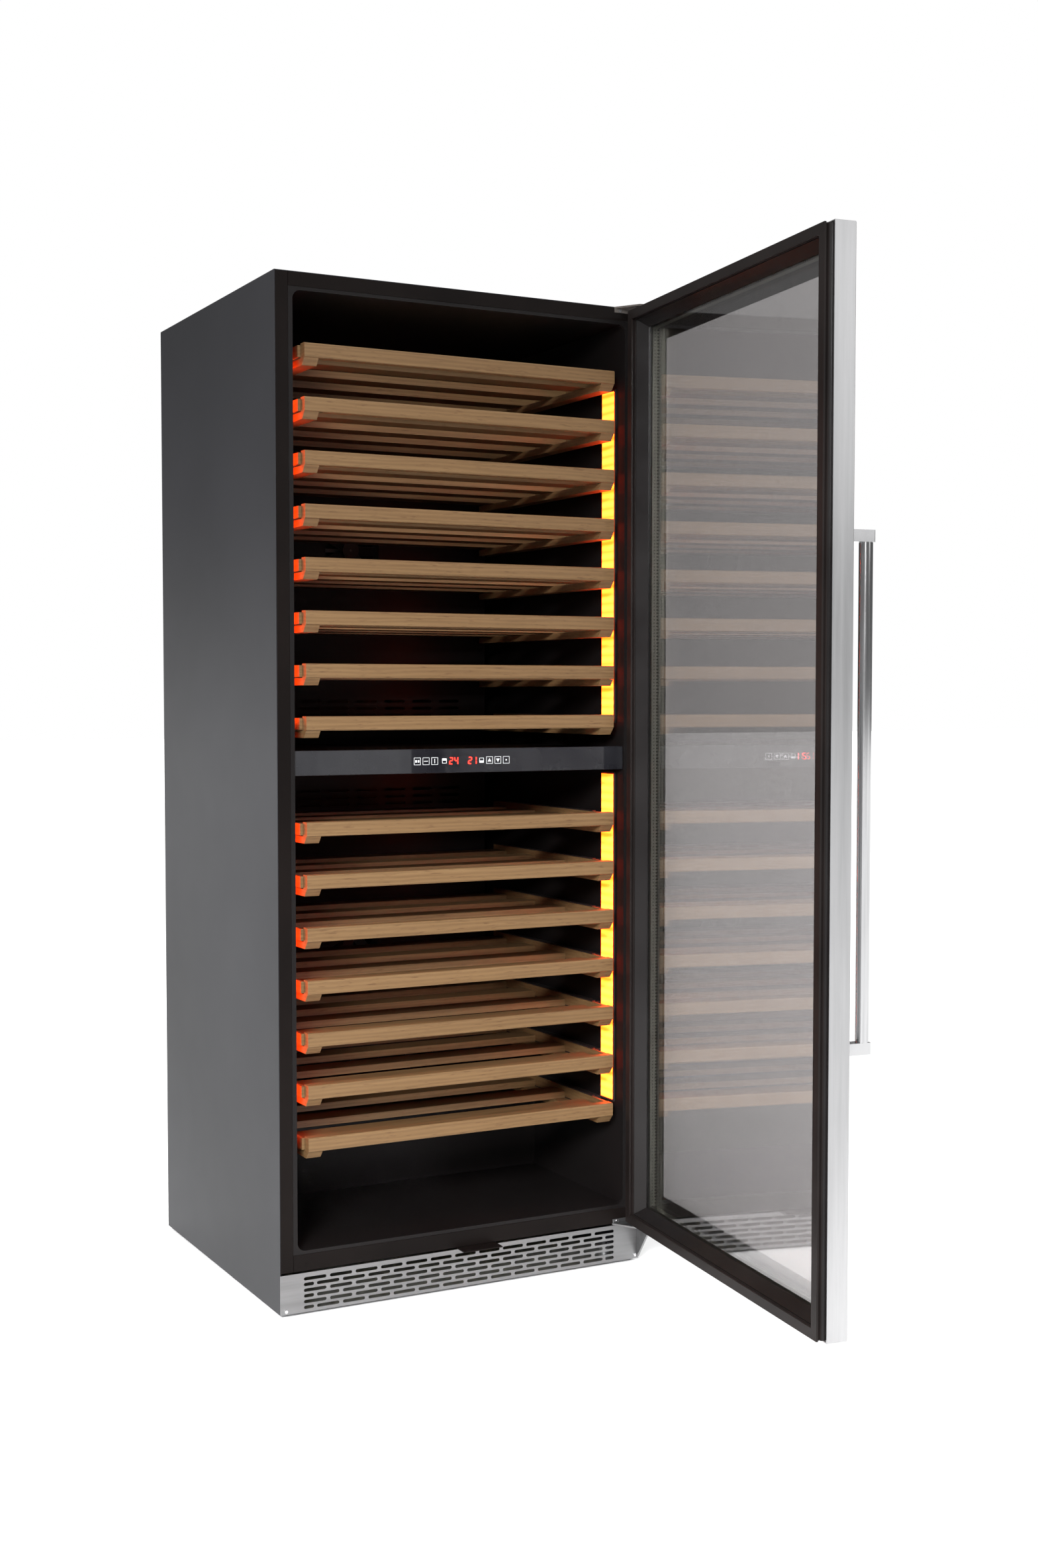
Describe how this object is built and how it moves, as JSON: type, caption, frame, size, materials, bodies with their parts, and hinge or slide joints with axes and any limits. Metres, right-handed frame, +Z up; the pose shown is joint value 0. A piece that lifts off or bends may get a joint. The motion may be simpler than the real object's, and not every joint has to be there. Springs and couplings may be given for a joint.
{
  "type": "wine cooler",
  "caption": "Tall freestanding wine cabinet with a hinged glass door, pull-out beech shelves in two temperature zones, bar handle and slotted kick plate",
  "frame": {"origin": "centre of the cabinet's footprint, on the floor", "axes": "+Z up, front faces -Y, +X to the right seen from the front"},
  "size_m": [0.7086, 1.3299, 1.736],
  "materials": {
    "painted_sheet": "satin",
    "galvanised_sheet": "satin",
    "foam": "matte",
    "liner_plastic": "satin",
    "control_glass": "gloss",
    "board_plastic": "matte",
    "frame_black": "satin",
    "hinge_metal": "satin",
    "stainless": "satin",
    "pin_steel": "satin",
    "rail_dark": "satin",
    "light_housing": "satin",
    "light_lens": "gloss",
    "coil_aluminium": "satin",
    "compressor_black": "satin",
    "foot_plastic": "matte",
    "beech": "satin",
    "door_frame_dark": "matte",
    "gasket_rubber": "matte",
    "door_glass": "gloss",
    "spacer_aluminium": "satin",
    "bush_plastic": "satin"
  },
  "bodies": {
    "cabinet": {"side_panel_left": "painted_sheet", "side_panel_right": "painted_sheet", "top_panel": "painted_sheet", "back_panel": "galvanised_sheet", "base_pan": "galvanised_sheet", "insulation": "foam", "inner_liner": "liner_plastic", "zone_divider": "liner_plastic", "control_panel": "control_glass", "control_board": "board_plastic", "front_frame": "frame_black", "frame_plugs": "frame_black", "kick_grille": "stainless", "hinge_top": "hinge_metal", "hinge_bottom": "hinge_metal", "hinge_pins": "pin_steel", "shelf_rails": "rail_dark", "light_bars": "light_housing", "light_lenses": "light_lens", "air_duct_upper": "liner_plastic", "air_duct_lower": "liner_plastic", "evaporators": "coil_aluminium", "fan_frames": "board_plastic", "compressor": "compressor_black", "condenser": "coil_aluminium", "machine_cover": "galvanised_sheet", "power_inlet": "board_plastic", "screws": "pin_steel", "drip_tray": "board_plastic"},
    "door": {"door_skin": "stainless", "door_inner_frame": "door_frame_dark", "door_gasket": "gasket_rubber", "glass_outer": "door_glass", "glass_inner": "door_glass", "glass_spacer": "spacer_aluminium", "handle_bar": "stainless", "handle_posts": "stainless", "hinge_bushes": "bush_plastic"},
    "shelf_body_01": {"shelf_01": "beech"},
    "shelf_body_02": {"shelf_02": "beech"},
    "shelf_body_03": {"shelf_03": "beech"},
    "shelf_body_04": {"shelf_04": "beech"},
    "shelf_body_05": {"shelf_05": "beech"},
    "shelf_body_06": {"shelf_06": "beech"},
    "shelf_body_07": {"shelf_07": "beech"},
    "shelf_body_08": {"shelf_08": "beech"},
    "shelf_body_09": {"shelf_09": "beech"},
    "shelf_body_10": {"shelf_10": "beech"},
    "shelf_body_11": {"shelf_11": "beech"},
    "shelf_body_12": {"shelf_12": "beech"},
    "shelf_body_13": {"shelf_13": "beech"},
    "shelf_body_14": {"shelf_14": "beech"},
    "shelf_body_15": {"shelf_15": "beech"},
    "foot_body_1": {"foot_1": "foot_plastic"},
    "foot_body_2": {"foot_2": "foot_plastic"},
    "foot_body_3": {"foot_3": "foot_plastic"},
    "foot_body_4": {"foot_4": "foot_plastic"},
    "rotor_upper_body": {"rotor_upper": "board_plastic"},
    "rotor_lower_body": {"rotor_lower": "board_plastic"},
    "rotor_condenser_body": {"rotor_condenser": "board_plastic"}
  },
  "joints": [
    {"name": "door_hinge", "type": "hinge", "parent": "cabinet", "child": "door", "pos_m": [0.34, -0.34, 0.9], "axis": [0, 0, 1], "range_deg": [-83, 32]},
    {"name": "shelf_slide_01", "type": "slide", "parent": "cabinet", "child": "shelf_body_01", "axis": [0, -1, 0], "range_m": [0, 0.3]},
    {"name": "shelf_slide_02", "type": "slide", "parent": "cabinet", "child": "shelf_body_02", "axis": [0, -1, 0], "range_m": [0, 0.3]},
    {"name": "shelf_slide_03", "type": "slide", "parent": "cabinet", "child": "shelf_body_03", "axis": [0, -1, 0], "range_m": [0, 0.3]},
    {"name": "shelf_slide_04", "type": "slide", "parent": "cabinet", "child": "shelf_body_04", "axis": [0, -1, 0], "range_m": [0, 0.3]},
    {"name": "shelf_slide_05", "type": "slide", "parent": "cabinet", "child": "shelf_body_05", "axis": [0, -1, 0], "range_m": [0, 0.3]},
    {"name": "shelf_slide_06", "type": "slide", "parent": "cabinet", "child": "shelf_body_06", "axis": [0, -1, 0], "range_m": [0, 0.3]},
    {"name": "shelf_slide_07", "type": "slide", "parent": "cabinet", "child": "shelf_body_07", "axis": [0, -1, 0], "range_m": [0, 0.3]},
    {"name": "shelf_slide_08", "type": "slide", "parent": "cabinet", "child": "shelf_body_08", "axis": [0, -1, 0], "range_m": [0, 0.3]},
    {"name": "shelf_slide_09", "type": "slide", "parent": "cabinet", "child": "shelf_body_09", "axis": [0, -1, 0], "range_m": [0, 0.3]},
    {"name": "shelf_slide_10", "type": "slide", "parent": "cabinet", "child": "shelf_body_10", "axis": [0, -1, 0], "range_m": [0, 0.3]},
    {"name": "shelf_slide_11", "type": "slide", "parent": "cabinet", "child": "shelf_body_11", "axis": [0, -1, 0], "range_m": [0, 0.3]},
    {"name": "shelf_slide_12", "type": "slide", "parent": "cabinet", "child": "shelf_body_12", "axis": [0, -1, 0], "range_m": [0, 0.3]},
    {"name": "shelf_slide_13", "type": "slide", "parent": "cabinet", "child": "shelf_body_13", "axis": [0, -1, 0], "range_m": [0, 0.3]},
    {"name": "shelf_slide_14", "type": "slide", "parent": "cabinet", "child": "shelf_body_14", "axis": [0, -1, 0], "range_m": [0, 0.3]},
    {"name": "shelf_slide_15", "type": "slide", "parent": "cabinet", "child": "shelf_body_15", "axis": [0, -1, 0], "range_m": [0, 0.3]},
    {"name": "foot_screw_1", "type": "hinge", "parent": "cabinet", "child": "foot_body_1", "pos_m": [-0.305, -0.261, 0], "axis": [0, 0, 1], "continuous": true},
    {"name": "foot_screw_2", "type": "hinge", "parent": "cabinet", "child": "foot_body_2", "pos_m": [0.305, -0.261, 0], "axis": [0, 0, 1], "continuous": true},
    {"name": "foot_screw_3", "type": "hinge", "parent": "cabinet", "child": "foot_body_3", "pos_m": [-0.305, 0.261, 0], "axis": [0, 0, 1], "continuous": true},
    {"name": "foot_screw_4", "type": "hinge", "parent": "cabinet", "child": "foot_body_4", "pos_m": [0.305, 0.261, 0], "axis": [0, 0, 1], "continuous": true},
    {"name": "fan_spin_upper", "type": "hinge", "parent": "cabinet", "child": "rotor_upper_body", "pos_m": [0, 0.2013, 1.326], "axis": [0, -1, 0], "continuous": true},
    {"name": "fan_spin_lower", "type": "hinge", "parent": "cabinet", "child": "rotor_lower_body", "pos_m": [0, 0.2013, 0.576], "axis": [0, -1, 0], "continuous": true},
    {"name": "fan_spin_condenser", "type": "hinge", "parent": "cabinet", "child": "rotor_condenser_body", "pos_m": [-0.14, 0.184, 0.101], "axis": [1, 0, 0], "continuous": true}
  ]
}
